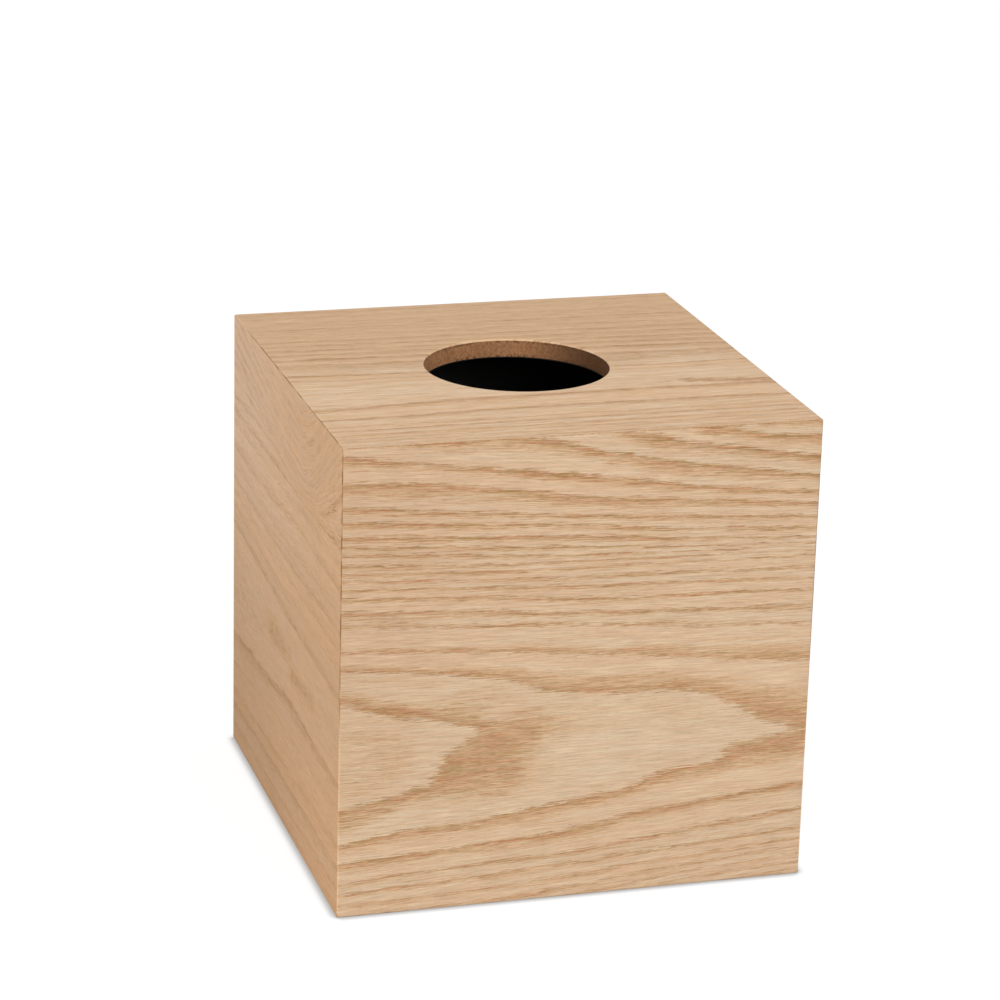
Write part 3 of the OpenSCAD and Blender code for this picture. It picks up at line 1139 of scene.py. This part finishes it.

# %% Slow changes over a leaf, some of them painted light and shade
# Each is what it starts from, then what every region adds. A region is one or two ranges, each an axis and
# the places in millimetres where it begins and where it is full.
SLOW_CHANGES = {
    # Paler towards the back of its top, a painted sheen, and darker towards the back of its foot and a little
    # halfway up, painted shade on the side that turns from the lamp
    "left": {
        "Blush And Sheen": (0.5, [(-0.4, [("z", 20, 120), ("y", -70, 65)]), (-0.18, [("z", 60, 130)])]),
        "Tone And Shade": (1.0, [(-0.19, [("z", 90, 0), ("y", -70, 65)]), (-0.035, [("z", 115, 75), ("z", 15, 55)])]),
    },
    # Pinker at the left above the tongues, and a little darker there and higher up
    "front": {
        "Blush And Sheen": (0.0, [(0.4, [("x", -15, -65), ("z", 50, 70)])]),
        "Tone And Shade": (1.0, [(-0.022, [("z", 30, 110)]), (-0.038, [("x", -15, -65), ("z", 25, 45)])]),
    },
    # Pinker towards the back, and darker there as painted shade
    "top": {"Blush And Sheen": (0.0, [(0.8, [("y", -20, 60)])]), "Tone And Shade": (1.02, [(-0.05, [("y", -40, 60)])])},
}


def slow_change(place, start, regions):
    """A number that changes slowly from one part of a leaf to another."""
    change = start
    for amount, ranges in regions:
        change = change + math.prod(place[axis].rise(*limits) for axis, *limits in ranges) * amount
    return change


# %% The glue line, and painted shade at the foot
# It is broken, and shows in the upper part of the cover, towards the front; at the foot the arrises are
# darkened as painted shade where the cover meets the floor
GLUE_MARKS = (5.0, 9.0, 20.0)
GLUE_LIMITS = (0.35, 0.6)
GLUE_SHOW = (0.45, 0.95)
GLUE_UP_MM = (45, 75)
GLUE_FRONT_MM = (70, 30)
FOOT_SHADE_MM = (2.0, 0.5)
FOOT_SHADE_SHOW = 0.6


def glue_line_and_foot_shade(tree, x, y, z):
    """How dark the glue line in the mitres is from place to place, with painted shade along the foot."""
    breaks = streaks(tree, join(tree, z, y, x), *GLUE_MARKS).rise(*GLUE_LIMITS)
    upper = z.rise(*GLUE_UP_MM) * between(*GLUE_SHOW, breaks) * y.rise(*GLUE_FRONT_MM)
    # Painted shade: the arrises darken close to the floor
    return upper + z.rise(*FOOT_SHADE_MM) * FOOT_SHADE_SHOW


# %% A material for each leaf
def oak_leaf(face, values):
    """The oak of one leaf: the figure written on its points, seen through the oak group."""
    material, tree, shader = new_material("oak_veneer_" + face)
    place = dict(zip("xyz", object_place_mm(tree)))
    changes = {name: slow_change(place, *change) for name, change in SLOW_CHANGES.get(face, {}).items()}
    figure = {name: attribute(tree, name.lower()) for name in ("Ring", "Band", "Stray", "Reach")}
    lines = {name: attribute(tree, name.lower(), "Vector") for name in ("Fibre", "Edge")}
    inputs = {**figure, **lines, "Seam": glue_line_and_foot_shade(tree, **place), **changes, **values}
    oak = add_node(tree, "ShaderNodeGroup", inputs, node_tree=OAK).outputs
    feed_shader(tree, shader, oak["Color"], oak["Roughness"], oak["Height"], PORE_DEPTH_MM, OAK_GLOSS)
    return material


# %% Make the five leaves
def made_by_tree(name, tree, inputs):
    """The plain mesh that a Geometry Nodes tree makes with the given inputs."""
    carrier = bpy.data.objects.new(name, bpy.data.meshes.new(name))
    bpy.context.scene.collection.objects.link(carrier)
    modifier = carrier.modifiers.new("leaf", "NODES")
    modifier.node_group = tree
    for item in tree.interface.items_tree:
        if item.in_out == "INPUT" and item.name in inputs:
            modifier[item.identifier] = inputs[item.name]
    graph = bpy.context.evaluated_depsgraph_get()
    mesh = bpy.data.meshes.new_from_object(carrier.evaluated_get(graph), depsgraph=graph)
    carrier.modifiers.remove(modifier)
    carrier.data = mesh
    mesh.name = name
    return carrier


SMOOTH_UNDER = math.radians(35)


def make_leaf(face, leaf_number):
    """One leaf of veneer: made flat on the bench, given its figure, and stood in its place."""
    directions = FACES[face]
    width, height = span(directions["right"]), span(directions["up"])
    material = oak_leaf(face, LEAVES[face])
    sizes = {
        "Width": width,
        "Height": height,
        "Thickness": veneer_t,
        "Square Foot": 0.0 if face == "top" else 1.0,
        "Hole Radius": hole_r if face == "top" else 0.0,
        "Material": material,
    }
    leaf = made_by_tree("oak_leaf_" + face, LEAF_TREE, sizes)
    draw_figure(leaf.data, FIGURES[face], leaf_number, width, height)
    leaf.data.transform(standing(directions))
    leaf.data.shade_smooth()
    leaf.data.set_sharp_from_angle(angle=SMOOTH_UNDER)
    leaf.data.update()
    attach(leaf, "root")
    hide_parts(face + "_veneer")
    return leaf


leaves = {face: make_leaf(face, number) for number, face in enumerate(LEAVES)}
for leaf in leaves.values():
    print(leaf.name, len(leaf.data.polygons), "faces", [round(side / MM, 2) for side in leaf.dimensions])

# %% [markdown]
# ## The fibreboard, the black sheet and the tongues
# The core of each board is brown fibreboard: pressed wood dust, so it has no grain, only a fine speckle.
# It shows in the wall of the hole, where the round cutter has left fine upright marks and has scorched both
# edges a little. Towards the right of the cover the fibreboard is darkened with painted shade, which shows
# in the right of the hole's wall. The inside of the boards is a matt black sheet, which keeps a board flat
# because the veneer pulls on its other side. Loose tongues of beech key the mitres and are never seen. Their
# CAD solids already have the right shape, so these pieces keep them and only get their materials.


# %% Fibreboard
_, core_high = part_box("top_core")
core_top_mm = core_high.z / MM
hole_r_mm = hole_r / MM
# Scale and detail of the speckle, and length, width, seed and detail of the marks
BOARD_SPECKLE = (1.3, 4.0)
CUTTER_MARKS = (14.0, 0.9, 30.0, 3.0)
BROAD_MARKS = (9.0, 4.0, 31.0)
# Depths under the core's top between which the upper and the lower scorched edge grow
SCORCHED_MM = [(0.9, 0.3), (4.0, 4.8)]
SCORCH_MARKS = 2.4
SCORCH_LIMITS = (0.45, 0.75)
SCORCH_SHOW = 0.7
# Where the painted shade towards the right begins, as a share of the hole's radius, and how dark it gets
SHADED_SIDE_FROM = 0.3
SHADED_SIDE_SHOW = 0.8
BROWN_LIMITS = (0.2, 0.8)
BOARD_LIGHT = {"marks": 0.35, "broad": 0.4, "speckle": 0.2}
BOARD_ROUGH = 0.75
ROUGH_SPREAD = 0.3
BOARD_RELIEF = 0.4
BOARD_DEPTH_MM = 0.03
BOARD_GLOSS = 0.3


def fibreboard():
    """Brown pressed fibres with cutter marks that run up and down, scorched under the veneer, and darker
    towards the right as painted shade.
    """
    material, tree, shader = new_material("fibreboard")
    x, y, z = object_place_mm(tree)
    speckle = speckles(tree, join(tree, x, y, z), *BOARD_SPECKLE)
    upright = join(tree, z, x, y)
    marks = streaks(tree, upright, *CUTTER_MARKS) - MEAN
    broad = streaks(tree, upright, *BROAD_MARKS) - MEAN
    scorch = sum(z.rise(core_top_mm - begin, core_top_mm - full) for begin, full in SCORCHED_MM)
    scorch = scorch * (marks * SCORCH_MARKS + broad + speckle).rise(*SCORCH_LIMITS)
    # Painted shade: darker towards the right, from a third of the hole's radius out to its rim
    shaded_side = x.rise(hole_r_mm * SHADED_SIDE_FROM, hole_r_mm)
    parts = {"marks": marks, "broad": broad, "speckle": speckle - MEAN}
    brown = blend(tree, paint("#b88659"), paint("#8f5f40"), speckle.rise(*BROWN_LIMITS))
    brown = shade(tree, brown, 1 + weighed(parts, BOARD_LIGHT))
    brown = blend(tree, brown, paint("#45280c"), shaded_side * SHADED_SIDE_SHOW)
    brown = blend(tree, brown, paint("#4a2e1c"), scorch.clamped() * SCORCH_SHOW)
    rough = BOARD_ROUGH + parts["speckle"] * ROUGH_SPREAD
    feed_shader(tree, shader, brown, rough, speckle * BOARD_RELIEF + marks, BOARD_DEPTH_MM, BOARD_GLOSS)
    return material


# %% Black sheet
SHEET_TOOTH = (1.6, 5.0)
SHEET_HAZE = (0.06, 3.0)
HAZE_LIMITS = (0.3, 0.7)
SHEET_ROUGH = 0.7
SHEET_DEPTH_MM = 0.01
SHEET_GLOSS = 0.25


def black_sheet():
    """A matt black paper laminate, a little uneven and dusty."""
    material, tree, shader = new_material("black_sheet")
    place = join(tree, *object_place_mm(tree))
    tooth, haze = (speckles(tree, place, *sizes) for sizes in (SHEET_TOOTH, SHEET_HAZE))
    dusty = (haze + tooth - MEAN).rise(*HAZE_LIMITS)
    black = blend(tree, paint("#181715"), paint("#201f1c"), dusty)
    rough = SHEET_ROUGH + (tooth - MEAN) * ROUGH_SPREAD
    feed_shader(tree, shader, black, rough, tooth, SHEET_DEPTH_MM, SHEET_GLOSS)
    return material


# %% Beech
# Length, width, seed and detail of the marks
BEECH_HAIR = (18.0, 0.3, 40.0, 3.0)
BEECH_FLECKS = (2.2, 0.25, 41.0, 1.0)
BEECH_BANDS = (30.0, 1.5, 42.0)
BEECH_FLECK_LIMITS = (0.62, 0.72)
BEECH_FLECK_SHOW = 0.5
BEECH_FLECK_DEPTH = 0.3
BEECH_HAIR_LIGHT = 0.3
BEECH_HAIR_ROUGH = 0.2
BEECH_ROUGH = 0.6
BEECH_DEPTH_MM = 0.02


def beech(length_axis):
    """Plain beech with its fibre along the tongue, and the short brown flecks that beech has."""
    material, tree, shader = new_material("beech_along_" + "xyz"[length_axis])
    axes = object_place_mm(tree)
    along = axes.pop(length_axis)
    place = join(tree, along, *axes)
    hair = streaks(tree, place, *BEECH_HAIR) - MEAN
    fleck = streaks(tree, place, *BEECH_FLECKS).rise(*BEECH_FLECK_LIMITS)
    wood = blend(tree, paint("#dcc09a"), paint("#cfa983"), streaks(tree, place, *BEECH_BANDS))
    wood = shade(tree, wood, 1 + hair * BEECH_HAIR_LIGHT)
    wood = blend(tree, wood, paint("#a87b52"), fleck * BEECH_FLECK_SHOW)
    rough = BEECH_ROUGH + hair * BEECH_HAIR_ROUGH
    feed_shader(tree, shader, wood, rough, MEAN + hair - fleck * BEECH_FLECK_DEPTH, BEECH_DEPTH_MM)
    return material


# %% Give the CAD pieces their materials
def dress(node, material):
    """Puts one material in every slot of a CAD piece."""
    mesh = frame["nodes"][node].data
    mesh.materials.clear()
    mesh.materials.append(material)


BOARD_BROWN = fibreboard()
SHEET_BLACK = black_sheet()
BEECH = [beech(axis) for axis in range(3)]
for face in FACES:
    dress(face + "_core", BOARD_BROWN)
    dress(face + "_backing", SHEET_BLACK)
for node in frame["nodes"]:
    if node.endswith("_tongue"):
        low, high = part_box(node)
        length_axis = max(range(3), key=lambda axis: (high - low)[axis])
        dress(node, BEECH[length_axis])
        print(node, "length (mm):", round((high - low)[length_axis] / MM, 1))

# %% [markdown]
# ## The studio
# The cover stands on a white sweep that runs out to pure white in the photograph. The floor here is
# white for the camera and a plain matt surface for all other light, mixed so that the shadow at the foot of
# the cover stays, very faint, as in the photograph, and a painted contact shadow darkens the white close to
# the foot. Light comes from a broad lamp in front and above, from a small one at the left, and from the
# white room all round. The left side turns away from the broad lamp, so it is a shade darker than the front.

# %% Floor
FLOOR_SIDE = 6.0
# The floor's grey under the light, and for the camera, where a glow makes up the rest of the white
FLOOR_MATT = 0.5
FLOOR_SHADED = 0.16
FLOOR_GLOW = 0.9
UNDER_MARGIN_MM = 4
# How far from the foot the white darkens as a painted contact shadow, how much, and the shares of open sky
# that it goes by
CONTACT_MM = 3.4
CONTACT_DARK = 0.58
CONTACT_SKY = (1.0, 0.45)


def seen_share(tree):
    """1 for the rays by which the camera, a reflection or clear material sees something, and 0 for light."""
    path = add_node(tree, "ShaderNodeLightPath").outputs
    seen = Number(tree, path["Is Camera Ray"])
    seen = seen.of("MAXIMUM", Number(tree, path["Is Glossy Ray"]))
    return seen.of("MAXIMUM", Number(tree, path["Is Transmission Ray"]))


def floor_material():
    """White where the camera looks at it, matt under the light, with the shadow kept and a painted contact
    shadow at the foot.
    """
    material = bpy.data.materials.new("white_floor")
    tree, surface = clear_tree(material, "ShaderNodeOutputMaterial")
    # Under the cover the floor is plain, so that it doesn't shine up through the hole
    x, y, _ = object_place_mm(tree)
    under_x = abs(x).of("LESS_THAN", cover.x / 2 / MM - UNDER_MARGIN_MM)
    under_y = abs(y).of("LESS_THAN", cover.y / 2 / MM - UNDER_MARGIN_MM)
    seen = seen_share(tree) * (1 - under_x * under_y)
    grey = between(FLOOR_MATT, FLOOR_SHADED, seen)
    matt = add_node(tree, "ShaderNodeBsdfDiffuse", {"Color": join(tree, grey, grey, grey)})
    # Close to the foot, the white glow darkens a little as a painted contact shadow, as a sheet does where a
    # box stands on it
    open_sky = add_node(tree, "ShaderNodeAmbientOcclusion", {"Distance": CONTACT_MM * MM}).outputs["AO"]
    contact_shadow = 1 - Number(tree, open_sky).rise(*CONTACT_SKY) * CONTACT_DARK
    strength = seen * FLOOR_GLOW * contact_shadow
    glow = add_node(tree, "ShaderNodeEmission", {"Color": WHITE, "Strength": strength})
    both = add_node(tree, "ShaderNodeAddShader", {0: matt.outputs[0], 1: glow.outputs[0]})
    tree.links.new(both.outputs[0], surface)
    return material


def lay_floor():
    """A large square floor level with the foot of the cover."""
    half = FLOOR_SIDE / 2
    corners = [(-half, -half, 0), (half, -half, 0), (half, half, 0), (-half, half, 0)]
    mesh = bpy.data.meshes.new("floor")
    mesh.from_pydata(corners, [], [(0, 1, 2, 3)])
    mesh.materials.append(floor_material())
    floor = bpy.data.objects.new("floor", mesh)
    bpy.context.scene.collection.objects.link(floor)
    return floor


floor = lay_floor()
print(floor.name, "side (m):", round(floor.dimensions.x, 2))

# %% Room light
ROOM_STRENGTH = 0.63


def light_room():
    """A white room: pure white to the camera and in reflections, softer as a light."""
    world = bpy.data.worlds.new("white room")
    tree, surface = clear_tree(world, "ShaderNodeOutputWorld")
    strength = between(ROOM_STRENGTH, 1.0, seen_share(tree))
    background = add_node(tree, "ShaderNodeBackground", {"Color": WHITE, "Strength": strength})
    tree.links.new(background.outputs[0], surface)
    bpy.context.scene.world = world
    return world


world = light_room()
print(world.name, "as a light:", ROOM_STRENGTH)

# %% Lamps
LAMPS = {
    "broad lamp": {"place": Vector((0.35, -1.65, 1.15)), "side": 1.1, "watts": 16.5},
    "side lamp": {"place": Vector((-1.0, -0.45, 0.45)), "side": 0.5, "watts": 3.0},
}


def hang_lamp(name, place, side, watts):
    """A square soft lamp that faces the middle of the cover."""
    data = bpy.data.lights.new(name, "AREA")
    data.shape = "SQUARE"
    data.size = side
    data.energy = watts
    lamp = bpy.data.objects.new(name, data)
    bpy.context.scene.collection.objects.link(lamp)
    turn = (middle - place).to_track_quat("-Z", "Y").to_matrix().to_4x4()
    lamp.matrix_world = Matrix.Translation(place) @ turn
    return lamp


for name, values in LAMPS.items():
    lamp = hang_lamp(name, **values)
    print(lamp.name, "from the cover (m):", round((lamp.matrix_world.translation - middle).length, 2))
bpy.context.scene.view_settings.view_transform = "Standard"
